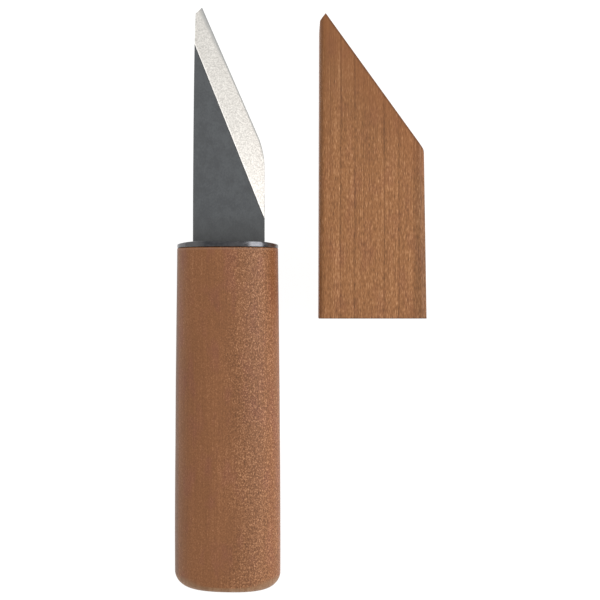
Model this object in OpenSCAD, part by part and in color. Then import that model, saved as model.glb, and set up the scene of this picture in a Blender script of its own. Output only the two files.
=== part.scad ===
// Skew-bladed craft knife for cutting lino, wood and paper, lying beside its wooden sheath.
// X runs across the blade, Y along the knife towards its tip, and Z up from the surface
// that both lie on. The origin is on that surface, under the middle of the pair.
// Knife pieces are drawn about the knife's own axis, with Y = 0 on the face of the ferrule
// plate that the blade stands on. Sheath pieces have Y = 0 at their mouth. In both, Z = 0 is
// halfway through the thickness.

/* [Blade] */
// Width of the blade where it stands on the ferrule plate
blade_w = 18; // [15:0.5:20]
// Length of the blade from the ferrule plate to the tip
blade_l = 59.7; // [52:0.1:62]
// Thickness of the blade at the ferrule plate
blade_t = 3; // [2.6:0.1:3.4]
// Thickness of the blade at its tip
tip_t = 2.2; // [1.6:0.1:2.4]
// Thickness of the hard steel layer on the flat back
steel_t = 0.6; // [0.5:0.1:1.2]
// Angle between the cutting edge and the length of the blade
skew_angle = 23.5; // [22:0.1:27]
// Angle between the ground bevel and the flat back
bevel_angle = 23.2; // [20:0.1:28]
// Radius that eases the cutting edge into the blade's side at the heel
heel_r = 22; // [10:1:26]
// How far the spine leans in between the ferrule plate and the tip
spine_lean = 0.5; // [0:0.1:1]
// Distance of the tip from the upper end of the spine
tip_in = 1.6; // [1:0.1:2]
// Length of the clipped corner between the spine and the tip, along the blade
clip_l = 1.7; // [1:0.1:3]

/* [Tang] */
// Length of the tang below the ferrule plate's top face
tang_l = 56; // [40:1:70]
// Width of the tang where it passes through the ferrule plate
tang_w = 11; // [9:0.5:12]
// Width of the tang at its buried end
tang_end_w = 7; // [5:0.5:8]

/* [Handle] */
// Length of the wooden handle
handle_l = 86.3; // [80:0.1:100]
// Width of the handle under the ferrule plate
handle_top_w = 25.5; // [24:0.1:26]
// Greatest width of the handle
handle_w = 26.7; // [26:0.1:30]
// Thickness of the handle
handle_t = 18; // [16:0.5:20]
// Length of the rounded corners on the butt's two narrow sides
butt_l = 4; // [2:0.1:5]
// How far the rounded corners turn in towards the butt's end
butt_in = 4.4; // [1:0.1:5]
// Radius that eases the butt's edge on the handle's two broad faces
butt_edge_r = 1.5; // [0.5:0.1:2]
// Height of the crown on the butt's end face
butt_crown = 0.8; // [0.2:0.1:1.2]
// How much longer the handle is on its right side than on its left
butt_slant = 0.6; // [0:0.1:1]

/* [Ferrule plate] */
// Thickness of the plate
plate_t = 1.4; // [1.2:0.1:2.5]
// Width of the part that rounds down at each of the plate's two narrow ends
plate_round_w = 6; // [3:0.5:7]
// How far the plate rounds down at its two narrow ends
plate_drop = 0.6; // [0.3:0.1:0.9]

/* [Sheath] */
// Length of the sheath from its mouth to its tip
sheath_l = 75.3; // [75:0.1:90]
// Width of the sheath at its mouth
sheath_w = 26.65; // [26:0.05:30]
// Thickness of the two halves together
sheath_t = 18; // [14:0.5:20]
// How far the sheath's left side leans in along its length
left_lean = 0.25; // [0:0.05:0.8]
// How far the sheath's right side would lean in along its length
right_lean = 1.2; // [0:0.1:2]
// Radius along the sheath's long outer edges
sheath_edge_r = 1.5; // [1:0.1:4]
// Angle between the sheath's sloping end and its length
slope_angle = 35.8; // [33:0.1:38]
// Distance of the sheath's tip from its left side
sheath_tip_in = 1.4; // [0.5:0.05:2]
// Length of the clipped corner beside the sheath's tip
sheath_clip_l = 1.7; // [0.5:0.1:3]
// Radius where the sloping end meets the right side
shoulder_r = 2.5; // [1:0.1:5]

/* [Fits] */
// Clearance around the blade in the sheath's pocket
pocket_gap = 0.5; // [0.3:0.05:0.8]
// Clearance above and below the blade in the sheath's pocket
pocket_face_gap = 0.2; // [0.1:0.05:0.3]
// Clearance around the tang in the plate's slot and in the handle
tang_gap = 0.1; // [0.05:0.05:0.3]

/* [Layout] */
// Gap between the handle and the sheath lying beside it
layout_gap = 9.6; // [5:0.1:40]
// How far the sheath's mouth lies behind the face of the ferrule plate
mouth_drop = 19.15; // [0:0.05:70]

/* [Hidden] */

wood_handle = [0.56, 0.38, 0.26];
wood_sheath = [0.62, 0.44, 0.3];
iron_black = [0.33, 0.34, 0.35];
steel_bright = [0.75, 0.75, 0.73];
plate_dark = [0.24, 0.25, 0.28];

// Layout of the pair on the surface
pair_w = handle_w + layout_gap + sheath_w;
knife_l = handle_l + plate_t + blade_l;
knife_x = (handle_w - pair_w) / 2;
plate_y = knife_l / 2 - blade_l;
sheath_x = (pair_w - sheath_w) / 2;
mouth_y = plate_y - mouth_drop;

// Outline of the blade, which stands slightly to the right of the handle's middle
blade_offset = 0.3;
blade_left = blade_offset - blade_w / 2;
blade_right = blade_offset + blade_w / 2;
spine_x = blade_left + spine_lean;
spine_l = blade_l - clip_l;
spine_power = 2.2;
spine_steps = 4;
tip_x = spine_x + tip_in;
corner_y = blade_l - (blade_right - tip_x) / tan(skew_angle);
heel_x = blade_right - heel_r;
heel_y = corner_y - heel_r * tan(skew_angle / 2);
heel_steps = 8;
// How far the blank reaches past the cutting edge before the bevel is ground
blank_spare = 0.5;

// Blade faces, measured from the flat back
back_z = -blade_t / 2;
taper_angle = atan((blade_t - tip_t) / blade_l);

// Size of a cutting block that reaches past every piece, and how far cuts run past a face
cutter = 200;
overlap = 1;

// Section of the handle and the ferrule plate: an oval a little fuller than an ellipse
oval_power = 2.3;
oval_sides = 48;
widest_at = 0.85;
swell_power = 1.5;
// Between 1 for a flat chamfer and 2 for a round corner
butt_power = 1.95;
// The last ring of the butt, as a part of the crown's size
crown_tip = 0.02;

// Outline of the sheath
sheath_left = -sheath_w / 2;
sheath_right = sheath_w / 2;
sheath_tip_x = sheath_left + left_lean + sheath_tip_in;
right_slant = atan(right_lean / sheath_l);
slope_drop = (sheath_right - right_lean - sheath_tip_x) / tan(slope_angle);
// The right side's lean moves the shoulder out as the slope comes down to meet it
shoulder_y = sheath_l - slope_drop / (1 - tan(right_slant) / tan(slope_angle));
shoulder_x = sheath_right - right_lean * shoulder_y / sheath_l;
shoulder_turn = slope_angle - right_slant;
shoulder_steps = 6;
round_sides = 32;

// Points from the heel's tangent on the blade's side up to the cutting edge, grown by a gap
function heel_arc(gap) = [
    for (i = [0 : heel_steps])
        let (turn = skew_angle * i / heel_steps)
            [heel_x + (heel_r + gap) * cos(turn), heel_y + (heel_r + gap) * sin(turn)]
];

// Points down the spine, which bows in towards the tip, between its two ends
spine_points = [
    for (i = [spine_steps - 1 : -1 : 1])
        let (s = i / spine_steps)
            [blade_left + spine_lean * pow(s, spine_power), spine_l * s]
];

// Upper end of the blank's edge, where the line of the clipped corner meets it
function blank_tip() =
    let (reach = blank_spare / (tip_in * cos(skew_angle) + clip_l * sin(skew_angle)))
        [tip_x + reach * tip_in, blade_l + reach * clip_l];

// Cutting edge line moved outwards by a gap: its X at a given Y
function edge_x(y, gap) = tip_x + (blade_l - y) * tan(skew_angle) + gap / cos(skew_angle);

// Superellipse point of half-width a and half-thickness b at a given turn
function oval_point(a, b, turn) = [
    a * sign(cos(turn)) * pow(abs(cos(turn)), 2 / oval_power),
    b * sign(sin(turn)) * pow(abs(sin(turn)), 2 / oval_power)
];

// Half-width of the handle a fraction of the way from the plate to the butt
function handle_half(s) =
    (handle_w - (handle_w - handle_top_w) * pow(abs(s - widest_at) / widest_at, swell_power)) / 2;

// Solid lofted through ovals; each ring is [y, half-width, half-thickness], y falling. With a
// lean, each ring drops towards +X by the lean for every unit of its depth and of its width.
module oval_loft(rings, lean = 0) {
    points = [
        for (ring = rings, i = [0 : oval_sides - 1])
            let (p = oval_point(ring[1], ring[2], 360 * i / oval_sides))
                [p[0], ring[0] * (1 + lean * p[0]), p[1]]
    ];
    last = len(rings) - 1;
    walls = [
        for (k = [0 : last - 1], i = [0 : oval_sides - 1])
            let (next = (i + 1) % oval_sides, top = k * oval_sides, low = top + oval_sides)
                [top + i, low + i, low + next, top + next]
    ];
    top_cap = [[for (i = [0 : oval_sides - 1]) i]];
    low_cap = [[for (i = [oval_sides - 1 : -1 : 0]) last * oval_sides + i]];
    polyhedron(points, concat(walls, top_cap, low_cap));
}

module knife_place() {
    translate([knife_x, plate_y, handle_t / 2]) children();
}

module sheath_place() {
    translate([sheath_x, mouth_y, sheath_t / 2]) children();
}

// Outline of the blade's blank in plan; the ground bevel makes the cutting edge itself
module blade_outline() {
    edge_start = heel_arc(0)[heel_steps];
    blank_start = edge_start + blank_spare * [cos(skew_angle), sin(skew_angle)];
    polygon(concat(
        [[blade_left, 0], [blade_right, 0]],
        heel_arc(0),
        [blank_start, blank_tip(), [spine_x, spine_l]],
        spine_points
    ));
}

// Everything above the tapering front face and above the ground bevel
module blade_cutters() {
    translate([-cutter / 2, 0, back_z + blade_t])
        rotate([-taper_angle, 0, 0]) cube(cutter);
    translate([tip_x, blade_l, back_z])
        rotate([0, 0, skew_angle])
            rotate([0, bevel_angle, 0])
                translate([-cutter, -cutter, 0]) cube([2 * cutter, 2 * cutter, cutter]);
}

// Tang tapering to its buried end, grown by a gap on each side
module tang(gap) {
    end_half = tang_end_w / 2 + gap;
    top_half = tang_w / 2 + gap;
    translate([0, 0, back_z - gap])
        linear_extrude(blade_t + 2 * gap)
            polygon([
                [-end_half, -tang_l - gap], [end_half, -tang_l - gap],
                [top_half, 0], [-top_half, 0]
            ]);
}

// Core that reaches from the tang into the iron body, inside both
module neck() {
    core_t = (blade_t - steel_t) / 2;
    translate([-tang_end_w / 2, -overlap, back_z + steel_t + core_t / 2])
        cube([tang_end_w, 2 * overlap, core_t]);
}

// Soft iron body of the blade, with its tang
module blade_iron() {
    color(iron_black) knife_place() {
        difference() {
            translate([0, 0, back_z + steel_t])
                linear_extrude(blade_t - steel_t) blade_outline();
            blade_cutters();
        }
        neck();
        tang(0);
    }
}

// Hard steel layer welded to the flat back of the blade, which carries the cutting edge
module blade_steel() {
    color(steel_bright) knife_place()
        difference() {
            translate([0, 0, back_z]) linear_extrude(steel_t) blade_outline();
            blade_cutters();
        }
}

// Outline of the plate in plan: flat where the blade stands and rounding down at both ends. It
// reaches past the plate's own sides and foot.
module plate_outline() {
    flat_half = handle_top_w / 2 - plate_round_w;
    foot_y = -plate_t - overlap;
    reach = plate_round_w + overlap;
    r = (plate_round_w * plate_round_w / plate_drop + plate_drop) / 2;
    round_steps = 7;
    arc = [for (i = [0 : round_steps])
        let (out = reach * i / round_steps)
            [flat_half + out, sqrt(r * r - out * out) - r]];
    polygon(concat(
        arc,
        [[flat_half + reach, foot_y], [-flat_half - reach, foot_y]],
        [for (i = [round_steps : -1 : 0]) [-arc[i][0], arc[i][1]]]
    ));
}

// Steel plate on the end of the handle, slotted for the tang
module ferrule_plate() {
    half_w = handle_top_w / 2;
    half_t = handle_t / 2;
    slot_w = tang_w + 2 * tang_gap;
    slot_t = blade_t + 2 * tang_gap;
    color(plate_dark) knife_place()
        difference() {
            intersection() {
                oval_loft([[overlap, half_w, half_t], [-plate_t, half_w, half_t]]);
                translate([0, 0, -half_t - overlap])
                    linear_extrude(handle_t + 2 * overlap) plate_outline();
            }
            translate([-slot_w / 2, -plate_t - overlap, -slot_t / 2])
                cube([slot_w, plate_t + 2 * overlap, slot_t]);
        }
}

// One-piece wooden handle with a blind mortise for the tang
module handle() {
    half_t = handle_t / 2;
    straight_l = handle_l - butt_l - butt_crown;
    end_half = handle_half(straight_l / handle_l);
    body_steps = 10;
    butt_steps = 6;
    crown_steps = 3;
    crown_half_w = end_half - butt_in;
    crown_half_t = half_t - butt_edge_r;
    body_rings = [for (i = [0 : body_steps])
        let (y = straight_l * i / body_steps)
            [-y, handle_half(y / handle_l), half_t]];
    butt_rings = [for (i = [1 : butt_steps])
        let (
            turn = 90 * i / butt_steps,
            inset = butt_in * (1 - pow(cos(turn), 2 / butt_power)),
            drop = butt_l * pow(sin(turn), 2 / butt_power),
            eased = max(1 - (butt_l - drop) / butt_edge_r, 0),
            face_inset = butt_edge_r * (1 - sqrt(max(1 - eased * eased, 0)))
        )
            [-straight_l - drop, end_half - inset, half_t - face_inset]];
    crown_rings = [for (i = [1 : crown_steps])
        let (k = 1 - i / (crown_steps + 1))
            [-straight_l - butt_l - butt_crown * (1 - k * k), crown_half_w * k, crown_half_t * k]];
    tip_ring = [[-handle_l, crown_half_w * crown_tip, crown_half_t * crown_tip]];
    color(wood_handle) knife_place()
        difference() {
            translate([0, -plate_t, 0])
                oval_loft(
                    concat(body_rings, butt_rings, crown_rings, tip_ring),
                    lean = butt_slant / handle_w / handle_l
                );
            tang(tang_gap);
        }
}

// Outline of the sheath in plan
module sheath_outline() {
    t = shoulder_r * tan(shoulder_turn / 2);
    round_x = shoulder_x + t * sin(right_slant) - shoulder_r * cos(right_slant);
    round_y = shoulder_y - t * cos(right_slant) - shoulder_r * sin(right_slant);
    polygon(concat(
        [[sheath_left - overlap, 0], [sheath_right + overlap, 0]],
        [for (i = [0 : shoulder_steps])
            let (turn = right_slant + shoulder_turn * i / shoulder_steps)
                [round_x + shoulder_r * cos(turn), round_y + shoulder_r * sin(turn)]],
        [
            [sheath_tip_x, sheath_l],
            [sheath_tip_x - sheath_tip_in, sheath_l - sheath_clip_l],
            [sheath_left - overlap, sheath_l - sheath_clip_l]
        ]
    ));
}

// Thin slice of the sheath's rounded section at a given Y between two sides
module sheath_slice(y, left, right) {
    slice_t = 0.01;
    r = sheath_edge_r;
    z = sheath_t / 2 - r;
    translate([0, y + slice_t / 2, 0]) rotate([90, 0, 0])
        linear_extrude(slice_t)
            for (x = [left + r, right - r], side = [-1, 1])
                translate([x, side * z]) circle(r, $fn = round_sides);
}

// Both halves together, before the pocket is cut
module sheath_solid() {
    intersection() {
        hull() {
            sheath_slice(0, sheath_left, sheath_right);
            sheath_slice(sheath_l, sheath_left + left_lean, sheath_right - right_lean);
        }
        translate([0, 0, -sheath_t / 2 - overlap])
            linear_extrude(sheath_t + 2 * overlap) sheath_outline();
    }
}

// Space for the blade, open at the mouth and following the cutting edge
module pocket() {
    top = blade_l + pocket_gap;
    depth = blade_t + 2 * pocket_face_gap;
    translate([0, 0, -depth / 2])
        linear_extrude(depth)
            polygon(concat(
                [[blade_left - pocket_gap, -overlap], [blade_right + pocket_gap, -overlap]],
                heel_arc(pocket_gap),
                [[edge_x(top, pocket_gap), top], [blade_left - pocket_gap, top]]
            ));
}

// Half of the sheath on one side of the glued seam: side is 1 for the front, -1 for the back
module sheath_half(side) {
    difference() {
        intersection() {
            sheath_solid();
            translate([-cutter / 2, -cutter / 2, side > 0 ? 0 : -cutter]) cube(cutter);
        }
        pocket();
    }
}

// Half that faces up
module sheath_front_half() {
    color(wood_sheath) sheath_place() sheath_half(1);
}

// Half that lies on the surface
module sheath_back_half() {
    color(wood_sheath) sheath_place() sheath_half(-1);
}

blade_iron();
blade_steel();
ferrule_plate();
handle();
sheath_front_half();
sheath_back_half();
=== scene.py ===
import math

import bmesh
import bpy
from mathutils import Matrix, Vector, noise


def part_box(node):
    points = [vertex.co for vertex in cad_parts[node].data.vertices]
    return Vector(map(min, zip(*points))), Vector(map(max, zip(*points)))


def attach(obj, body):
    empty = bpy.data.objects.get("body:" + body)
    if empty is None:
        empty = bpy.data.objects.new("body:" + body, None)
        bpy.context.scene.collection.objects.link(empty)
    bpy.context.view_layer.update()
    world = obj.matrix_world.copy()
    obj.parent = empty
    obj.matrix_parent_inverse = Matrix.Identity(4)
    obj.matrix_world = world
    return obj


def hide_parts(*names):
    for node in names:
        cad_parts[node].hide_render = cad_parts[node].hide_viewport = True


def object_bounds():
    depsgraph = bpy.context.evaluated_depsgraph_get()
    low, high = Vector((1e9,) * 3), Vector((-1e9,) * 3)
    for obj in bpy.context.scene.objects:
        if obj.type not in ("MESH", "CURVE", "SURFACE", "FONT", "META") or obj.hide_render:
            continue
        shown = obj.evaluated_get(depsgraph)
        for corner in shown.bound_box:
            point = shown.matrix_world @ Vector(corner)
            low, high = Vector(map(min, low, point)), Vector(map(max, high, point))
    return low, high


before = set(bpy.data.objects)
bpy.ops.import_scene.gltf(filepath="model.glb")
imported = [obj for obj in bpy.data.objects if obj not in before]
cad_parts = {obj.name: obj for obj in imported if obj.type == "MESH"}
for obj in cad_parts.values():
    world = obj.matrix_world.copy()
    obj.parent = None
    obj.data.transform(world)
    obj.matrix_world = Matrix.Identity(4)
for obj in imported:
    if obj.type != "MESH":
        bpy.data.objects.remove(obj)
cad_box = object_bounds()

MM = 0.001


# ---------------------------------------------------------------- places, from the frame

def box_mm(node):
    """Lowest and highest corner of a CAD node, in millimetres."""
    low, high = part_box(node)
    return low / MM, high / MM


handle_low, handle_high = box_mm("handle")
plate_low, plate_high = box_mm("ferrule_plate")
steel_low, steel_high = box_mm("blade_steel")
iron_low, iron_high = box_mm("blade_iron")
sheath_low = box_mm("sheath_back_half")[0]
sheath_high = box_mm("sheath_front_half")[1]
seam_z = box_mm("sheath_back_half")[1].z

knife_x = (handle_low.x + handle_high.x) / 2
mid_z = (handle_low.z + handle_high.z) / 2
plate_top = plate_high.y
handle_top = handle_high.y
handle_l = handle_high.y - handle_low.y
handle_w = handle_high.x - handle_low.x
handle_t = handle_high.z - handle_low.z
top_w = plate_high.x - plate_low.x
sheath_x = (sheath_low.x + sheath_high.x) / 2
sheath_w = sheath_high.x - sheath_low.x
sheath_t = sheath_high.z - sheath_low.z
mouth_y = sheath_low.y
sheath_l = sheath_high.y - sheath_low.y
blade_l = steel_high.y - plate_top
blade_t = iron_high.z - steel_low.z
steel_t = steel_high.z - steel_low.z

# Shapes that the boxes don't say. Lengths are in millimetres and angles in radians. The oval
# section is shared by the handle and the plate.
OVAL_POWER = 2.3
OVAL_SIDES = 192

# The handle, which is widest a fraction WIDEST_AT of the way down
WIDEST_AT = 0.85
SWELL_POWER = 1.5
SURFACE_HOLLOW = 0.05
TOP_EASE = 0.35

# The butt
BUTT_L = 4.0
BUTT_IN = 4.4
BUTT_POWER = 1.95
BUTT_EDGE_R = 1.5
BUTT_CROWN = 0.8
BUTT_SLANT = 0.6

# The plate
PLATE_ROUND_W = 6.0
PLATE_DROP = 0.6
PLATE_EASE = 0.15
PLATE_FOOT_EASE = 0.12

# The blade and its tang
TIP_T = 2.2
SKEW = math.radians(23.5)
BEVEL = math.radians(23.2)
HEEL_R = 22.0
SPINE_LEAN = 0.5
SPINE_POWER = 2.2
TIP_IN = 1.6
CLIP_L = 1.7
FRONT_EASE = 0.12
BACK_EASE = 0.08
TANG_W = 11.0
TANG_END_W = 7.0
TANG_GAP = 0.1

# The sheath and its pocket
LEFT_LEAN = 0.25
RIGHT_LEAN = 1.2
SHEATH_EDGE_R = 1.5
SHEATH_RIM_EASE = 0.3
SEAM_EASE = 0.1
SLOPE = math.radians(35.8)
SHEATH_TIP_IN = 1.4
SHEATH_TIP_X = LEFT_LEAN + SHEATH_TIP_IN - sheath_w / 2
SHEATH_CLIP_L = 1.7
SHOULDER_R = 2.5
POCKET_GAP = 0.5
POCKET_FACE_GAP = 0.2

# Meshes: points nearer than WELD become one, cutters reach OVERCUT past what they cut, points
# within NEAR of a plane count as on it, and edges that turn by more than SHARP get rounded
WELD = 0.0005
CUT_TOLERANCE = 0.00001
OVERCUT = 1.0
NEAR = 0.01
SHARP = math.radians(25)
HEEL_STEPS = 20
SPINE_STEPS = 12

# Which of the blade's two materials is on a face: forge scale is 0, and this is the other
GROUND_SLOT = 1


# ---------------------------------------------------------------- mesh tools

def add_metres(name, bm):
    """Turns a bmesh in millimetres into an object in metres, its faces turned outwards."""
    bmesh.ops.recalc_face_normals(bm, faces=bm.faces)
    bmesh.ops.scale(bm, vec=Vector((MM, MM, MM)), verts=bm.verts)
    mesh = bpy.data.meshes.new(name)
    bm.to_mesh(mesh)
    bm.free()
    made = bpy.data.objects.new(name, mesh)
    bpy.context.scene.collection.objects.link(made)
    return made


def add_piece(name, bm, body, node, materials):
    """Turns a bmesh in millimetres into a smooth-shaded piece that stands for a CAD node."""
    bmesh.ops.remove_doubles(bm, verts=bm.verts, dist=WELD)
    for face in bm.faces:
        face.smooth = True
    piece = add_metres(name, bm)
    for material in materials:
        piece.data.materials.append(material)
    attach(piece, body)
    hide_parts(node)
    return piece


def apply_modifiers(piece):
    """Puts the result of a piece's modifiers into its mesh."""
    graph = bpy.context.evaluated_depsgraph_get()
    made = bpy.data.meshes.new_from_object(piece.evaluated_get(graph), depsgraph=graph)
    made.name = piece.name
    piece.modifiers.clear()
    old = piece.data
    piece.data = made
    bpy.data.meshes.remove(old)


def weight_normals(piece, angle):
    """Keeps flat faces flat in shading where small rounded edges meet them. Edges that turn by
    more than the angle in degrees stay sharp."""
    piece.data.set_sharp_from_angle(angle=math.radians(angle))
    modifier = piece.modifiers.new("normals", "WEIGHTED_NORMAL")
    modifier.keep_sharp = True
    modifier.weight = 100
    apply_modifiers(piece)


def cut_out(piece, bm):
    """Subtracts a closed bmesh in millimetres from a piece."""
    cutter = add_metres("cutter", bm)
    mesh = cutter.data
    modifier = piece.modifiers.new("cut", "BOOLEAN")
    modifier.operation = "DIFFERENCE"
    modifier.solver = "EXACT"
    modifier.object = cutter
    apply_modifiers(piece)
    bpy.data.objects.remove(cutter)
    bpy.data.meshes.remove(mesh)


def prism(outline, z_low, z_high):
    """Closed bmesh of a flat outline, a list of (x, y), between two heights."""
    bm = bmesh.new()
    low = [bm.verts.new((x, y, z_low)) for x, y in outline]
    high = [bm.verts.new((x, y, z_high)) for x, y in outline]
    bm.faces.new(low[::-1])
    bm.faces.new(high)
    for i in range(len(outline)):
        j = (i + 1) % len(outline)
        bm.faces.new((low[i], low[j], high[j], high[i]))
    return bm


def slice_off(bm, point, normal, material_index=None):
    """Cuts a convex bmesh with a plane, drops the side that the normal points to, and caps the cut."""
    geometry = bm.verts[:] + bm.edges[:] + bm.faces[:]
    result = bmesh.ops.bisect_plane(bm, geom=geometry, plane_co=point, plane_no=normal,
                                    clear_outer=True, dist=CUT_TOLERANCE)
    edges = [e for e in result["geom_cut"] if isinstance(e, bmesh.types.BMEdge)]
    if not edges:
        return
    made = bmesh.ops.edgeloop_fill(bm, edges=edges)
    if material_index is not None:
        for face in made["faces"]:
            face.material_index = material_index


def round_edges(bm, width, wanted, segments=3):
    """Rounds the edges that wanted(edge) picks."""
    edges = [e for e in bm.edges if len(e.link_faces) == 2 and wanted(e)]
    bmesh.ops.bevel(bm, geom=edges, offset=width, offset_type="OFFSET", segments=segments,
                    profile=0.5, affect="EDGES", clamp_overlap=True)


def loft(rings):
    """Closed bmesh through rings that have the same number of points, with flat caps."""
    bm = bmesh.new()
    sides = len(rings[0])
    verts = [[bm.verts.new(p) for p in ring] for ring in rings]
    for top, low in zip(verts, verts[1:]):
        for i in range(sides):
            j = (i + 1) % sides
            bm.faces.new((top[i], low[i], low[j], top[j]))
    bm.faces.new(verts[0])
    bm.faces.new(verts[-1][::-1])
    return bm


def oval_ring(y, half_w, half_t, hollow=0.0, lean=0.0):
    """Ring of a superellipse about the knife's axis. hollow sinks it by a little soft noise, and
    lean drops it by that much for each millimetre towards +X."""
    waves_round, waves_along = 0.16, 0.07
    ring = []
    for i in range(OVAL_SIDES):
        turn = 2 * math.pi * i / OVAL_SIDES
        c, s = math.cos(turn), math.sin(turn)
        x = half_w * math.copysign(abs(c) ** (2 / OVAL_POWER), c)
        z = half_t * math.copysign(abs(s) ** (2 / OVAL_POWER), s)
        sink = 1.0
        if hollow:
            wave = noise.noise(Vector((x * waves_round, y * waves_along, z * waves_round)))
            sink = 1 - hollow * (0.5 + 0.5 * wave) / half_w
        ring.append((knife_x + x * sink, y - lean * x, mid_z + z * sink))
    return ring


# ---------------------------------------------------------------- shader tools

class Shader:
    """Adds nodes to one material. A socket given as an input is linked, and a value is set."""

    def __init__(self, name):
        self.material = bpy.data.materials.new(name)
        self.material.use_nodes = True
        self.tree = self.material.node_tree
        self.tree.nodes.clear()

    def add(self, kind, inputs, out=0, **settings):
        node = self.tree.nodes.new("ShaderNode" + kind)
        for key, value in settings.items():
            setattr(node, key, value)
        for key, value in inputs.items():
            if isinstance(value, bpy.types.NodeSocket):
                self.tree.links.new(value, node.inputs[key])
            else:
                node.inputs[key].default_value = value
        return node.outputs[out]

    def math(self, operation, a, b=0.0):
        return self.add("Math", {0: a, 1: b}, operation=operation)

    def swing(self, value, size):
        """A value around one half, turned into one around zero and scaled."""
        return self.math("MULTIPLY", self.math("SUBTRACT", value, 0.5), size)

    def vector(self, operation, a, b):
        return self.add("VectorMath", {0: a, 1: b}, operation=operation)

    def dot(self, a, b):
        return self.add("VectorMath", {0: a, 1: b}, out="Value", operation="DOT_PRODUCT")

    def axis(self, place, letter):
        """One coordinate of a place, by its letter."""
        return self.add("SeparateXYZ", {0: place}, out=letter)

    def place(self, origin):
        """Position on the piece in millimetres, counted from an origin."""
        here = self.add("TexCoord", {}, out="Object")
        return self.vector("SUBTRACT", self.vector("MULTIPLY", here, (1 / MM,) * 3), origin)

    def noise(self, place, per_mm, detail=2.0, roughness=0.5, shift=0.0):
        """Noise from 0 to 1 with a number of features per millimetre along each axis."""
        moved = self.vector("ADD", self.vector("MULTIPLY", place, per_mm), (shift,) * 3)
        return self.add("TexNoise", {"Vector": moved, "Scale": 1.0, "Detail": detail,
                                     "Roughness": roughness})

    def range(self, value, low, high, to_low=0.0, to_high=1.0):
        """Smooth step from to_low to to_high while the value goes from low to high."""
        return self.add("MapRange", {"Value": value, "From Min": low, "From Max": high,
                                     "To Min": to_low, "To Max": to_high},
                        interpolation_type="SMOOTHSTEP")

    def noisy(self, value, to_low=0.0, to_high=1.0):
        """Stretches a noise, most of which lies between 0.3 and 0.7, over a range."""
        return self.range(value, 0.3, 0.7, to_low, to_high)

    def mix(self, factor, a, b, blend="MIX"):
        """Colour a where the factor is 0 and colour b where it is 1."""
        return self.add("Mix", {0: factor, 6: a, 7: b}, out=2, data_type="RGBA",
                        blend_type=blend, clamp_factor=True)

    def tint(self, colour, value, bands):
        """Mixes in a colour for each band: (value where it starts, where it is full, how much,
        colour)."""
        for start, full, most, tinted in bands:
            colour = self.mix(self.range(value, start, full, 0, most), colour, tinted)
        return colour

    def shades(self, shade, value, bands):
        """Multiplies a brightness for each band: (from value, to value, before, after)."""
        for low, high, before, after in bands:
            shade = self.math("MULTIPLY", shade, self.range(value, low, high, before, after))
        return shade

    def darken(self, colour, amount):
        """Multiplies a colour by a brightness."""
        grey = self.add("CombineColor", {0: amount, 1: amount, 2: amount})
        return self.mix(1.0, colour, grey, "MULTIPLY")

    def ramp(self, value, stops):
        """Grey ramp through (place, brightness) stops."""
        node = self.tree.nodes.new("ShaderNodeValToRGB")
        self.tree.links.new(value, node.inputs[0])
        elements = node.color_ramp.elements
        while len(elements) < len(stops):
            elements.new(0.5)
        for element, (place, grey) in zip(elements, stops):
            element.position = place
            element.color = (grey, grey, grey, 1)
        return node.outputs[0]

    def bump(self, height, distance):
        """Normal of a surface that a height from 0 to 1 lifts by a distance in millimetres."""
        return self.add("Bump", {"Height": height, "Distance": distance * MM})

    def finish(self, **inputs):
        """Ends the material in a Principled shader. Names of inputs use _ for a space."""
        named = {key.replace("_", " "): value for key, value in inputs.items()}
        shader = self.add("BsdfPrincipled", named)
        output = self.tree.nodes.new("ShaderNodeOutputMaterial")
        self.tree.links.new(shader, output.inputs["Surface"])
        return self.material


def srgb(r, g, b):
    """Linear colour with alpha from the eye's 0 to 255 values."""
    def linear(c):
        c = c / 255
        return c / 12.92 if c <= 0.04045 else ((c + 0.055) / 1.055) ** 2.4
    return (linear(r), linear(g), linear(b), 1)


# ---------------------------------------------------------------- materials

# Cherry: tones as (mid, light, red), and the tints that lie over them, some of which are painted
# sheen, shade and highlight
HANDLE_TONES = (srgb(151, 99, 62), srgb(184, 134, 98), srgb(150, 94, 69))
SHEATH_TONES = (srgb(163, 109, 66), srgb(186, 139, 100), srgb(157, 101, 66))
RIGHT_EDGE_SHADE_BROWN = srgb(146, 84, 46)
LEFT_SHEEN_GREY_BROWN = srgb(120, 100, 84)
LEFT_EDGE_SHADE_GREY_BROWN = srgb(110, 94, 80)
LIP_HIGHLIGHT_BROWN = srgb(176, 142, 120)
SLOPE_BROWN = srgb(158, 96, 54)
LEFT_BROWN = srgb(146, 92, 50)
END_GRAIN_DARK = srgb(148, 108, 77)
END_GRAIN_LIGHT = srgb(172, 133, 100)
END_GRAIN_PORE = srgb(136, 98, 70)

# Steel: ground bright, scaled by the forge, and blackened, with painted reflections on the plate
GROUND_DARK = srgb(182, 179, 174)
GROUND_LIGHT = srgb(216, 213, 207)
GROUND_CLOUD = srgb(190, 187, 181)
HARD_LAYER = srgb(160, 160, 158)
EDGE_LINE = srgb(128, 130, 130)
SCRATCH = srgb(166, 163, 158)
BRIGHT_LINE = srgb(246, 243, 238)
SCALE_DARK = srgb(92, 94, 96)
SCALE_LIGHT = srgb(103, 106, 108)
SCALE_LOW = srgb(86, 86, 85)
SCALE_BESIDE = srgb(80, 80, 78)
PLATE_DARK = srgb(78, 79, 83)
PLATE_LIGHT = srgb(100, 100, 103)
PLATE_WORN = srgb(122, 121, 122)
PLATE_LEFT_REFLECTION = srgb(132, 132, 133)
PLATE_LEFT_TIP_REFLECTION = srgb(92, 92, 94)
PLATE_RIGHT_REFLECTION = srgb(150, 150, 151)
WHITE = (1, 1, 1, 1)
TABLE_GREY = (0.2, 0.2, 0.2, 1)

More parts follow.
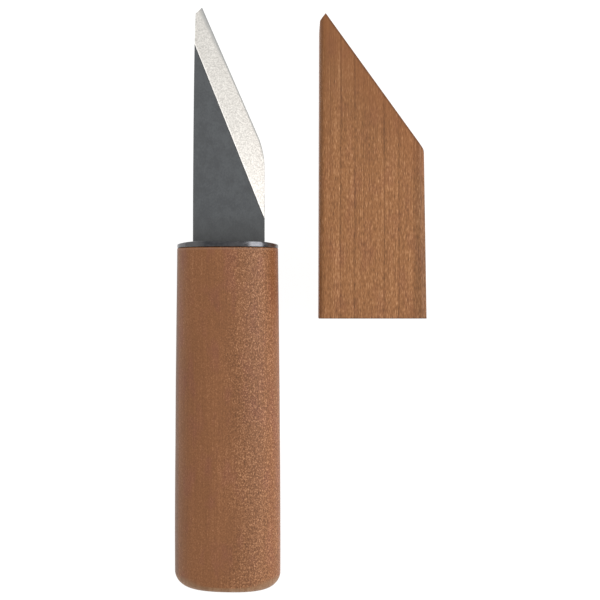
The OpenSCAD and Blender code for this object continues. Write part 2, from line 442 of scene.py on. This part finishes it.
# Dark ring lines of the wood: (millimetres across from the piece's middle, depth)
HANDLE_RINGS = ((-8.5, 0.05), (-3.0, 0.05), (2.2, 0.08), (8.0, 0.1))
# The sheath's line at -12.6 is painted shade on its rounded left edge rather than a growth ring
SHEATH_RINGS = ((-12.6, 0.2), (-10.5, 0.35), (-8.04, 0.9), (-4.64, 0.8), (-2.4, 0.35),
                (-0.9, 0.2), (2.68, 0.9), (6.23, 0.8), (10.0, 0.5))


def ring_lines(s, ringed, rings):
    """Brightness around one half that rises slowly towards each ring, drops suddenly into a thin
    dark line, and recovers past it."""
    half_width = 16.0
    drop_w, recover_w = 0.2, 0.35
    crest, trough, after = 0.08, 0.5, 0.47
    stops = [(0.0, 0.5)]
    for offset, depth in rings:
        for step, grey in ((-drop_w, 0.5 + crest * depth), (0.0, 0.5 - trough * depth),
                           (recover_w, after)):
            stops.append(((offset + step + half_width) / (2 * half_width), grey))
    stops.append((1.0, 0.5))
    return s.ramp(s.math("DIVIDE", s.math("ADD", ringed, half_width), 2 * half_width), stops)


def cherry(s, place, tones, rings, flecks, strength, shade, shift, tilt, streaks):
    """Fine-grained cherry whose grain runs along Y, so sides and ends show the same rings as the
    face. flecks are how many there are in a millimetre (across, along) the grain, strength scales
    them, streaks scales the long thin lines and shade the whole brightness. shift moves all of the
    noise, and tilt leans the rings with depth. Returns the colour and the flecks as a height."""
    mid, light, red = tones
    a, b = flecks
    sway_w, ring_size, broad_size, darkest = 0.9, 0.75, 0.25, 0.5
    sway = s.noise(place, per_mm=(0.05, 0.018, 0.05), detail=1, shift=shift)
    lean = s.math("MULTIPLY", s.axis(place, "Z"), tilt)
    ringed = s.math("ADD", s.math("ADD", s.axis(place, "X"), s.swing(sway, sway_w)), lean)
    ring = ring_lines(s, ringed, rings)
    fleck = s.noise(place, per_mm=(a, b, a), detail=1, roughness=0.6, shift=shift + 7)
    fine = s.noise(place, per_mm=(a * 1.5, b * 2.2, a * 1.5), detail=1, shift=shift + 13)
    column = s.noise(place, per_mm=(a * 0.9, 0.06, a * 0.9), shift=shift)
    broad = s.noise(place, per_mm=(0.16, 0.04, 0.16), shift=shift + 21)
    patch = s.noise(place, per_mm=(0.3, 0.12, 0.3), shift=shift + 33)
    tone = s.swing(ring, ring_size)
    for part, size in ((column, streaks), (broad, broad_size), (fleck, strength), (fine, strength)):
        tone = s.math("ADD", tone, s.swing(part, size))
    lit = s.math("MULTIPLY", s.math("MAXIMUM", s.math("ADD", tone, 1.0), darkest), shade)
    hue = s.tint(mid, patch, [(0.45, 0.7, 0.6, red)])
    hue = s.tint(hue, tone, [(0.0, 0.5, 0.8, light)])
    return s.darken(hue, lit), fleck


def end_grain(s, place):
    """Growth rings seen end on, dotted with pores."""
    growth = s.noise(place, per_mm=(1.0, 0.1, 0.14), detail=3, roughness=0.6, shift=9)
    pores = s.noise(place, per_mm=(3.2, 0.5, 3.2), shift=17)
    colour = s.mix(s.range(growth, 0.35, 0.65), END_GRAIN_DARK, END_GRAIN_LIGHT)
    return s.tint(colour, pores, [(0.5, 0.68, 0.4, END_GRAIN_PORE)])


def oiled(s, colour, fleck, dull, bright):
    """Oiled wood whose flecks shine a little more than the rest and stand a little higher."""
    return s.finish(Base_Color=colour, Roughness=s.noisy(fleck, dull, bright),
                    Specular_IOR_Level=0.35, Normal=s.bump(fleck, distance=0.02))


def handle_wood(name):
    """Oiled cherry, plain on the left and finely flecked towards the right. Broad bands along the
    grain are painted shading of the oval, with painted sheen and shade at the sides, a painted shadow
    under the plate and a painted highlight on the eased edge below it."""
    s = Shader(name)
    place = s.place((knife_x, 0, mid_z))
    across = s.axis(place, "X")
    up = s.axis(place, "Y")
    cloud = s.noise(place, per_mm=(0.18, 0.07, 0.18), shift=50)
    drift_w = 14.0
    drifted = s.math("ADD", across, s.swing(cloud, drift_w))
    strength = s.range(drifted, -3, 7, 0.55, 1.5)

    # Painted shading across the width, lighter at both sides where light falls on the oval, and a
    # painted shadow that darkens the wood right under the plate
    shade = s.shades(1.0, across, [(-10, -5, 1.09, 1.0), (-1, 3.5, 1.0, 0.93),
                                   (5.5, 9.5, 1.0, 1.08)])
    shade = s.shades(shade, up, [(handle_top - 0.3, handle_top, 1.0, 0.35)])
    colour, fleck = cherry(s, place, HANDLE_TONES, HANDLE_RINGS, (3.2, 2.0), strength, shade,
                           shift=0.0, tilt=0.35, streaks=0.3)
    # Painted edge light: a red-brown strip near the right edge is painted shade, a grey-brown band on
    # the left is painted sheen, and a darker grey-brown strip at the left edge is painted shade
    colour = s.tint(colour, across, [(10.2, 11.4, 0.2, RIGHT_EDGE_SHADE_BROWN), (-8.5, -12.0, 0.14, LEFT_SHEEN_GREY_BROWN),
                                     (-11.8, -12.5, 0.45, LEFT_EDGE_SHADE_GREY_BROWN)])

    # The rounded butt shows paler end grain, and a pale painted highlight lies on the eased edge under
    # the plate
    facing = s.dot(s.add("TexCoord", {}, out="Normal"), (0, -1, 0))
    colour = s.tint(colour, facing, [(0.05, 0.3, 0.85, end_grain(s, place))])
    # Painted highlight: a pale line on the eased top edge of the wood, just under the plate
    lip_highlight_low, lip_highlight_high, lip_highlight_strength = handle_top - 0.75, handle_top - 0.2, 0.3
    lip_highlight = s.math("MULTIPLY", s.range(up, lip_highlight_low, lip_highlight_low + 0.25),
                 s.range(up, lip_highlight_high, lip_highlight_high - 0.2))
    colour = s.mix(s.math("MULTIPLY", lip_highlight, lip_highlight_strength), colour, LIP_HIGHLIGHT_BROWN)
    return oiled(s, colour, fleck, dull=0.6, bright=0.48)


def sheath_wood(name, shift):
    """Straight-grained cherry, plainer and darker towards the tip, dark where end grain meets the
    faces and along the seam, and with painted shade on its rounded side edges."""
    s = Shader(name)
    place = s.place((sheath_x, 0, sheath_high.z))
    across = s.axis(place, "X")
    up = s.axis(place, "Y")
    tip = sheath_high.y
    plain_l, dark_l = 40, 45
    strength = s.range(up, tip, tip - plain_l, 0.45, 1.1)
    slope = s.dot(s.vector("SUBTRACT", place, (SHEATH_TIP_X, tip, 0)),
                  (math.cos(SLOPE), math.sin(SLOPE), 0))
    from_seam = s.math("ABSOLUTE", s.math("ADD", s.axis(place, "Z"), sheath_high.z - seam_z))
    shade = s.shades(1.0, up, [(tip, tip - dark_l, 0.82, 1.0)])
    # Painted shade darkens the rounded right edge (12.0 to 12.8) and the rounded left edge (-13.3 to
    # -11.5); the band from 9.4 to 11.2 is the wood's own darker tone
    shade = s.shades(shade, across, [(9.4, 11.2, 1.0, 0.76), (12.0, 12.8, 1.0, 0.88),
                                     (-13.3, -11.5, 0.92, 1.0)])
    shade = s.shades(shade, slope, [(-0.65, -0.2, 1.0, 0.55)])
    shade = s.shades(shade, up, [(mouth_y + 0.35, mouth_y + 0.1, 1.0, 0.6)])
    shade = s.shades(shade, from_seam, [(0.05, 0.25, 0.45, 1.0)])
    colour, fleck = cherry(s, place, SHEATH_TONES, SHEATH_RINGS, (4.4, 0.5), strength, shade,
                           shift=shift, tilt=0.1, streaks=0.8)
    colour = s.tint(colour, slope, [(-8, -1, 0.3, SLOPE_BROWN)])
    colour = s.tint(colour, across, [(-9.5, -11.5, 0.25, LEFT_BROWN)])
    return oiled(s, colour, fleck, dull=0.62, bright=0.5)


def bevel_distance(s, place):
    """Distance from the cutting edge along the blade's plan, less what the bevel has risen: zero
    on the ground bevel, and more than zero on the forged face beside it."""
    from_edge = s.dot(s.vector("SUBTRACT", place, edge_point), edge_inward)
    height = s.math("SUBTRACT", s.axis(place, "Z"), back_z)
    return s.math("SUBTRACT", from_edge, s.math("DIVIDE", height, math.tan(BEVEL)))


def below_face(s, place):
    """How far a point lies below the plane of the blade's tapering front face."""
    level = (0, plate_top, back_z + blade_t)
    return s.dot(s.vector("SUBTRACT", level, place), (0, math.sin(TAPER), math.cos(TAPER)))


def hard_strip(s, place, along, from_edge, speck):
    """One on the hard layer, which shows as a strip that narrows towards the heel."""
    least_w, sway_w, speck_w = 0.7, 0.6, 0.8
    sway = s.noise(place, per_mm=(0.35, 0.35, 0.0), shift=5)
    width = s.math("ADD", s.math("MULTIPLY", sway, sway_w), least_w)
    width = s.math("ADD", width, s.swing(speck, speck_w))
    width = s.math("MULTIPLY", width, s.range(along, 2, 24, 1.0, 0.3))
    return s.range(s.math("SUBTRACT", from_edge, width), -0.45, 0.35, 1, 0)


def rim_line(s, place, along, from_edge):
    """A thin line that follows the edge and, below it, the round of the heel. It fades out before
    the bevel's low end."""
    core_w, line_w, strength = 0.1, 0.45, 0.6
    level = s.vector("MULTIPLY", s.vector("SUBTRACT", place, (*heel_centre, 0)), (1, 1, 0))
    radius = s.add("VectorMath", {0: level}, out="Value", operation="LENGTH")
    on_heel = s.math("GREATER_THAN", along, heel_along)
    beside_heel = s.math("MULTIPLY", s.math("SUBTRACT", HEEL_R, radius), on_heel)
    beside_edge = s.math("MULTIPLY", from_edge, s.math("SUBTRACT", 1.0, on_heel))
    rim = s.math("ADD", beside_heel, beside_edge)
    return s.math("MULTIPLY", s.range(rim, line_w, core_w), s.range(along, 45, 38, 0, strength))


def ground_steel(name):
    """Steel fresh from the stone: finely speckled, a little greyer along the hard cutting edge,
    with a bright line where the bevel meets the forged face."""
    s = Shader(name)
    place = s.place((0, 0, 0))
    from_tip = s.vector("SUBTRACT", place, edge_point)
    along = s.dot(from_tip, edge_along)
    from_edge = s.dot(from_tip, edge_inward)
    speck = s.noise(place, per_mm=(2.8, 2.8, 2.8), detail=3, roughness=0.65)
    cloud = s.noise(place, per_mm=(0.25, 0.25, 0.25), shift=2)
    colour = s.mix(s.noisy(speck), GROUND_DARK, GROUND_LIGHT)
    colour = s.mix(s.noisy(cloud, 0, 0.2), colour, GROUND_CLOUD)
    colour = s.darken(colour, s.range(along, 26, 54, 1.0, 1.14))
    hard_strength = 0.75
    hard = s.math("MULTIPLY", hard_strip(s, place, along, from_edge, speck), hard_strength)
    colour = s.mix(hard, colour, HARD_LAYER)
    colour = s.mix(rim_line(s, place, along, from_edge), colour, EDGE_LINE)

    # Scratches of the stone run across the edge
    turned = s.add("CombineXYZ", {0: along, 1: from_edge, 2: 0.0})
    scratch = s.noise(turned, per_mm=(4.0, 0.35, 1.0), detail=3, roughness=0.7)
    colour = s.tint(colour, scratch, [(0.58, 0.75, 0.3, SCRATCH)])
    colour = s.tint(colour, below_face(s, place), [(0.14, 0.04, 0.6, BRIGHT_LINE)])
    return s.finish(Base_Color=colour, Metallic=0.7, Roughness=s.noisy(speck, 0.52, 0.42),
                    Normal=s.bump(s.math("ADD", scratch, speck), distance=0.005))


def forge_scale(name):
    """Blue-grey scale left by the forge, darker towards the plate and beside the bevel."""
    s = Shader(name)
    place = s.place((0, 0, 0))
    mottle = s.noise(place, per_mm=(0.45, 0.35, 0.45), detail=4, roughness=0.55)
    grain = s.noise(place, per_mm=(2.6, 1.8, 2.6), roughness=0.6, shift=3)
    mottle_part, grain_part, dark_l = 0.55, 0.45, 9
    light = s.math("ADD", s.math("MULTIPLY", mottle, mottle_part),
                   s.math("MULTIPLY", grain, grain_part))
    colour = s.mix(s.range(light, 0.35, 0.65), SCALE_DARK, SCALE_LIGHT)
    near_plate = s.range(s.axis(place, "Y"), plate_top, plate_top + dark_l, 0.5, 0)
    colour = s.mix(near_plate, colour, SCALE_LOW)
    beside = s.range(bevel_distance(s, place), 0.05, 0.45, 0.35, 0)
    colour = s.mix(beside, colour, SCALE_BESIDE)
    return s.finish(Base_Color=colour, Metallic=0.2, Roughness=s.noisy(mottle, 0.6, 0.5),
                    Specular_IOR_Level=0.3,
                    Normal=s.bump(s.math("ADD", grain, mottle), distance=0.015))


def blackened_plate(name):
    """Blackened steel plate, lighter towards its two ends by painted reflections, and duller at the
    right one.
    """
    s = Shader(name)
    place = s.place((0, 0, 0))
    across = s.axis(s.place((knife_x, 0, 0)), "X")
    mottle = s.noise(place, per_mm=(0.8, 1.6, 0.8), detail=4, roughness=0.65)
    worn = s.noise(place, per_mm=(0.35, 0.35, 0.35), shift=4)
    colour = s.mix(s.noisy(mottle), PLATE_DARK, PLATE_LIGHT)
    colour = s.tint(colour, worn, [(0.5, 0.75, 0.4, PLATE_WORN)])
    # Painted reflections lighten the plate towards both ends, less so at the far left tip
    colour = s.tint(colour, across, [(-4.5, -8, 0.7, PLATE_LEFT_REFLECTION), (-9.5, -11, 0.6, PLATE_LEFT_TIP_REFLECTION),
                                     (9.5, 11, 0.8, PLATE_RIGHT_REFLECTION)])
    roughness = s.math("ADD", s.noisy(mottle, 0.14, 0.24), s.range(across, 9, 11, 0, 0.2))
    return s.finish(Base_Color=colour, Metallic=1.0, Roughness=roughness,
                    Normal=s.bump(mottle, distance=0.008))


def table_top(name):
    """White table, lit from within so that shadows on it stay faint."""
    s = Shader(name)
    return s.finish(Base_Color=TABLE_GREY, Roughness=0.9, Emission_Color=WHITE,
                    Emission_Strength=0.94)


# ---------------------------------------------------------------- the blade's geometry

blade_left = steel_low.x
blade_right = steel_high.x
spine_x = blade_left + SPINE_LEAN
tip_x = spine_x + TIP_IN
tip_y = plate_top + blade_l
back_z = steel_low.z
spine_l = blade_l - CLIP_L
TAPER = math.atan((blade_t - TIP_T) / blade_l)
corner_y = tip_y - (blade_right - tip_x) / math.tan(SKEW)
heel_centre = (blade_right - HEEL_R, corner_y - HEEL_R * math.tan(SKEW / 2))
edge_point = (tip_x, tip_y, 0)
edge_inward = (-math.cos(SKEW), -math.sin(SKEW), 0)
edge_along = (math.sin(SKEW), -math.cos(SKEW), 0)
heel_along = (Vector((*heel_centre, 0)) - Vector(edge_point)).dot(Vector(edge_along))


def heel_arc(gap):
    """Points that ease the blade's side into the cutting edge, grown by a gap."""
    turns = [SKEW * i / HEEL_STEPS for i in range(HEEL_STEPS + 1)]
    return [(heel_centre[0] + (HEEL_R + gap) * math.cos(t),
             heel_centre[1] + (HEEL_R + gap) * math.sin(t)) for t in turns]


def blade_prism(z_low, z_high):
    """The blade's outline between two heights, with its taper and its ground bevel cut."""
    spine = []
    for i in range(SPINE_STEPS, 0, -1):
        s = i / SPINE_STEPS
        spine.append((blade_left + SPINE_LEAN * s ** SPINE_POWER, plate_top + spine_l * s))
    outline = [(blade_left, plate_top), (blade_right, plate_top), *heel_arc(0),
               (tip_x, tip_y), *spine]
    bm = prism(outline, z_low, z_high)
    slice_off(bm, (0, plate_top, back_z + blade_t), (0, math.sin(TAPER), math.cos(TAPER)))
    ground = (math.sin(BEVEL) * math.cos(SKEW), math.sin(BEVEL) * math.sin(SKEW), math.cos(BEVEL))
    slice_off(bm, (tip_x, tip_y, back_z), ground, material_index=GROUND_SLOT)
    return bm


def tang_outline(gap):
    """Corners of the tang, which narrows towards the butt, grown by a gap."""
    top = TANG_W / 2 + gap
    end = TANG_END_W / 2 + gap
    end_y = iron_low.y - gap
    return [(knife_x - end, end_y), (knife_x + end, end_y),
            (knife_x + top, plate_top), (knife_x - top, plate_top)]


def tang_room():
    """The tang's own space with its clearance, to be cut out of what it passes through."""
    return prism(tang_outline(TANG_GAP), back_z - TANG_GAP, back_z + blade_t + TANG_GAP)


def is_ground(edge):
    """Whether an edge borders the ground bevel."""
    return any(face.material_index == GROUND_SLOT for face in edge.link_faces)


def make_iron(materials):
    """Soft iron body of the blade, with its tang."""
    upright_l = 1.0
    bm = blade_prism(back_z + steel_t, back_z + blade_t)

    def front_rim(edge):
        high = min(v.co.z for v in edge.verts) > back_z + steel_t + FRONT_EASE
        upright = abs(edge.verts[0].co.z - edge.verts[1].co.z) > upright_l
        above = min(v.co.y for v in edge.verts) > plate_top + FRONT_EASE
        return above and not is_ground(edge) and high and not upright

    round_edges(bm, FRONT_EASE, front_rim, segments=2)
    tang = prism(tang_outline(0), back_z, back_z + blade_t)
    mesh = bpy.data.meshes.new("tang")
    tang.to_mesh(mesh)
    tang.free()
    bm.from_mesh(mesh)
    bpy.data.meshes.remove(mesh)
    iron = add_piece("blade_iron_body", bm, "knife", "blade_iron", materials)
    weight_normals(iron, angle=15)


def make_steel(materials):
    """Hard steel layer welded to the iron's back, which is ground over its whole back face."""
    bm = blade_prism(back_z, back_z + steel_t)

    def back_rim(edge):
        low = max(v.co.z for v in edge.verts) < back_z + NEAR
        return low and not is_ground(edge) and edge.calc_face_angle(0) > SHARP

    round_edges(bm, BACK_EASE, back_rim, segments=2)
    facing_down = -0.9
    for face in bm.faces:
        if face.normal.z < facing_down:
            face.material_index = GROUND_SLOT
    steel = add_piece("blade_edge_steel", bm, "knife", "blade_steel", materials)
    weight_normals(steel, angle=15)


# ---------------------------------------------------------------- plate and handle

def plate_face(x):
    """How far the plate's face lies below its highest part at a distance x from its middle."""
    out = max(abs(x) - top_w / 2 + PLATE_ROUND_W, 0)
    r = (PLATE_ROUND_W ** 2 / PLATE_DROP + PLATE_DROP) / 2
    return r - math.sqrt(r * r - out * out)


def make_plate(material):
    """Steel plate, slotted for the tang, whose face rounds down towards both narrow ends."""
    # cap leaves the innermost ring a little open, for a small flat face to close
    rim_steps, face_steps, cap = 4, 12, 0.2
    foot = PLATE_FOOT_EASE
    half_w, half_t = top_w / 2, handle_t / 2

    def face_ring(drop, inset, part=1.0):
        ring = oval_ring(plate_top - drop, (half_w - inset) * part, (half_t - inset) * part)
        return [(x, y - plate_face(x - knife_x), z) for x, y, z in ring]

    rings = [oval_ring(plate_low.y, half_w - foot, half_t - foot),
             oval_ring(plate_low.y + foot, half_w, half_t)]
    for i in range(rim_steps + 1):
        turn = math.pi / 2 * i / rim_steps
        rings.append(face_ring(PLATE_EASE * (1 - math.sin(turn)), PLATE_EASE * (1 - math.cos(turn))))
    for i in range(1, face_steps + 1):
        rings.append(face_ring(0, PLATE_EASE, 1 - i / (face_steps + cap)))
    plate = add_piece("ferrule_plate_steel", loft(rings), "knife",
                      "ferrule_plate", [material])
    half_slot = TANG_W / 2 + TANG_GAP
    slot = [(knife_x - half_slot, plate_low.y - OVERCUT), (knife_x + half_slot, plate_low.y - OVERCUT),
            (knife_x + half_slot, plate_top + OVERCUT), (knife_x - half_slot, plate_top + OVERCUT)]
    cut_out(plate, prism(slot, back_z - TANG_GAP, back_z + blade_t + TANG_GAP))
    weight_normals(plate, angle=40)


def handle_half(s):
    """Half-width of the handle a fraction s of the way from the plate to the butt."""
    return (handle_w - (handle_w - top_w) * (abs(s - WIDEST_AT) / WIDEST_AT) ** SWELL_POWER) / 2


def body_rings(straight_l):
    """Eased top edge and slow swell. Each ring is (distance from the top, half-width,
    half-thickness)."""
    ease_steps, swell_steps = 6, 90
    half_t = handle_t / 2
    rings = []
    for i in range(ease_steps):
        turn = math.pi / 2 * i / ease_steps
        inset = TOP_EASE * (1 - math.sin(turn))
        rings.append((TOP_EASE * (1 - math.cos(turn)), handle_half(0) - inset, half_t - inset))
    for i in range(swell_steps + 1):
        y = TOP_EASE + (straight_l - TOP_EASE) * i / swell_steps
        rings.append((y, handle_half(y / handle_l), half_t))
    return rings


def butt_rings(straight_l):
    """Rounded corners and low crown of the butt, as rings like those of the body."""
    # cap leaves the last ring a little open, for a small flat face to close
    corner_steps, crown_steps, cap = 24, 16, 0.3
    half_w, half_t = handle_half(straight_l / handle_l), handle_t / 2
    rings = []
    for i in range(1, corner_steps + 1):
        turn = math.pi / 2 * i / corner_steps
        inset = BUTT_IN * (1 - max(math.cos(turn), 0) ** (2 / BUTT_POWER))
        drop = BUTT_L * math.sin(turn) ** (2 / BUTT_POWER)
        eased = max(1 - (BUTT_L - drop) / BUTT_EDGE_R, 0)
        face_inset = BUTT_EDGE_R * (1 - math.sqrt(1 - eased * eased))
        rings.append((straight_l + drop, half_w - inset, half_t - face_inset))
    for i in range(1, crown_steps + 1):
        k = 1 - i / (crown_steps + cap)
        y = straight_l + BUTT_L + BUTT_CROWN * (1 - k * k)
        rings.append((y, (half_w - BUTT_IN) * k, (half_t - BUTT_EDGE_R) * k))
    return rings


def make_handle(material):
    """One-piece oval handle: eased top edge, slow swell, and a butt that is crowned, rounded at
    its corners, and cut a little off square."""
    # The slant carries the right side of the crown slightly past its middle
    spare = 0.02
    straight_l = handle_l - BUTT_L - BUTT_CROWN - spare
    lean = BUTT_SLANT / handle_w / handle_l
    ovals = [oval_ring(handle_top - y, half_w, half_t, SURFACE_HOLLOW, lean * y)
             for y, half_w, half_t in body_rings(straight_l) + butt_rings(straight_l)]
    handle = add_piece("handle_cherry", loft(ovals), "knife", "handle", [material])
    cut_out(handle, tang_room())
    weight_normals(handle, angle=50)


# ---------------------------------------------------------------- sheath

def sheath_section(y, left, right):
    """Ring of a rectangle with rounded corners, between two distances from the sheath's middle."""
    corner_steps = 12
    r = SHEATH_EDGE_R
    half_z = sheath_t / 2
    ring = []
    for cx, cz, start in ((right - r, half_z - r, 0), (left + r, half_z - r, 90),
                          (left + r, r - half_z, 180), (right - r, r - half_z, 270)):
        for i in range(corner_steps + 1):
            turn = math.radians(start + 90 * i / corner_steps)
            ring.append((sheath_x + cx + r * math.cos(turn), y, seam_z + cz + r * math.sin(turn)))
    return ring


def round_shoulder(bm, tip):
    """Rounds the corner between the sloping end and the right side with a few flat cuts."""
    cuts = 6
    half_w = sheath_w / 2
    slant = math.atan(RIGHT_LEAN / sheath_l)
    drop = (half_w - RIGHT_LEAN - (tip.x - sheath_x)) / math.tan(SLOPE)
    shoulder_y = sheath_l - drop / (1 - math.tan(slant) / math.tan(SLOPE))
    shoulder = Vector((sheath_x + half_w - RIGHT_LEAN * shoulder_y / sheath_l,
                       mouth_y + shoulder_y, 0))
    tangent = SHOULDER_R * math.tan((SLOPE - slant) / 2)
    centre = shoulder + Vector((tangent * math.sin(slant) - SHOULDER_R * math.cos(slant),
                                -tangent * math.cos(slant) - SHOULDER_R * math.sin(slant), 0))
    for i in range(cuts):
        turn = slant + (SLOPE - slant) * (i + 0.5) / cuts
        normal = Vector((math.cos(turn), math.sin(turn), 0))
        slice_off(bm, centre + normal * SHOULDER_R, normal)


def sheath_bar():
    """Both halves of the sheath as one bar with its sloping end, its edges eased."""
    half_w = sheath_w / 2
    bm = loft([sheath_section(mouth_y + sheath_l, LEFT_LEAN - half_w, half_w - RIGHT_LEAN),
               sheath_section(mouth_y, -half_w, half_w)])
    tip = Vector((sheath_x + SHEATH_TIP_X, mouth_y + sheath_l, 0))
    slice_off(bm, tip, (math.cos(SLOPE), math.sin(SLOPE), 0))
    slice_off(bm, tip, (-SHEATH_CLIP_L, SHEATH_TIP_IN, 0))
    round_shoulder(bm, tip)
    round_edges(bm, SHEATH_RIM_EASE, lambda e: e.calc_face_angle(0) > SHARP)
    return bm


def pocket_room():
    """The blade's outline with its clearance, moved from the knife into the sheath."""
    to_sheath = sheath_x - knife_x
    lift = mouth_y - plate_top
    left, right = blade_left - POCKET_GAP, blade_right + POCKET_GAP
    top = tip_y + POCKET_GAP
    edge = tip_x + (tip_y - top) * math.tan(SKEW) + POCKET_GAP / math.cos(SKEW)
    outline = [(left, plate_top - OVERCUT), (right, plate_top - OVERCUT), *heel_arc(POCKET_GAP),
               (edge, top), (left, top)]
    deep = blade_t / 2 + POCKET_FACE_GAP
    return prism([(x + to_sheath, y + lift) for x, y in outline], seam_z - deep, seam_z + deep)


def make_sheath_half(name, node, side, material):
    """The half above the seam (side 1) or below it (-1), its seam edge broken, with its share of
    the pocket."""
    bm = sheath_bar()
    slice_off(bm, (0, 0, seam_z), (0, 0, -side))

    def seam_rim(edge):
        on_seam = all(abs(v.co.z - seam_z) < NEAR for v in edge.verts)
        return on_seam and edge.calc_face_angle(0) > SHARP

    round_edges(bm, SEAM_EASE, seam_rim, segments=1)
    piece = add_piece(name, bm, "sheath", node, [material])
    cut_out(piece, pocket_room())
    weight_normals(piece, angle=35)


# ---------------------------------------------------------------- build

def build_object():
    """All six pieces, in the order of the CAD nodes that they stand for."""
    blade_materials = [forge_scale("forge_scale"), ground_steel("ground_steel")]
    make_iron(blade_materials)
    make_steel(blade_materials)
    make_plate(blackened_plate("blackened_plate"))
    make_handle(handle_wood("handle_cherry_wood"))
    make_sheath_half("sheath_front_cherry", "sheath_front_half", side=1,
                     material=sheath_wood("sheath_front_wood", shift=0.0))
    make_sheath_half("sheath_back_cherry", "sheath_back_half", side=-1,
                     material=sheath_wood("sheath_back_wood", shift=40.0))


def build_table():
    """Large square just under the pieces, so that no face of theirs lies in it."""
    half = 3.0
    gap = 0.05 * MM
    z = cad_box[0].z - gap
    mesh = bpy.data.meshes.new("table")
    mesh.from_pydata([(-half, -half, z), (half, -half, z), (half, half, z), (-half, half, z)], [],
                     [(0, 1, 2, 3)])
    table = bpy.data.objects.new("table", mesh)
    mesh.materials.append(table_top("table_white"))
    bpy.context.scene.collection.objects.link(table)


def area_light(name, azimuth, elevation, distance, width, height, radiance):
    """Softbox aimed at the object. Azimuth 0 is +X and 90 is +Y, and radiance is what it shows."""
    a, e = math.radians(azimuth), math.radians(elevation)
    towards = Vector((math.cos(a) * math.cos(e), math.sin(a) * math.cos(e), math.sin(e)))
    data = bpy.data.lights.new(name, "AREA")
    data.shape = "RECTANGLE"
    data.size = width
    data.size_y = height
    data.energy = radiance * math.pi * width * height
    light = bpy.data.objects.new(name, data)
    light.location = towards * distance
    light.rotation_mode = "QUATERNION"
    light.rotation_quaternion = towards.to_track_quat("Z", "Y")
    light.visible_camera = False
    bpy.context.scene.collection.objects.link(light)


def build_light():
    """One softbox above and to the right of the pair, and an even white studio around it."""
    area_light("key_right", azimuth=14, elevation=45, distance=0.6, width=0.42, height=0.34,
               radiance=4.2)
    world = bpy.data.worlds.new("studio")
    world.use_nodes = True
    background = world.node_tree.nodes["Background"]
    background.inputs["Color"].default_value = WHITE
    background.inputs["Strength"].default_value = 0.53
    bpy.context.scene.world = world
    bpy.context.scene.view_settings.view_transform = "Standard"


def build_camera():
    """Looks straight down on the pair, from a little over a third of a metre. Lengths are in
    metres, but for the sensor and the lens."""
    height = 0.354
    frame_width = 0.1517
    right_of_knife = 0.01826
    below_plate = 0.01456
    data = bpy.data.cameras.new("camera")
    data.sensor_width = 36
    data.lens = data.sensor_width * height / frame_width
    data.clip_start = 0.01
    camera = bpy.data.objects.new("camera", data)
    camera.location = (knife_x * MM + right_of_knife, plate_top * MM - below_plate,
                       mid_z * MM + height)
    bpy.context.scene.collection.objects.link(camera)
    bpy.context.scene.camera = camera


build_object()
build_table()
build_light()
build_camera()
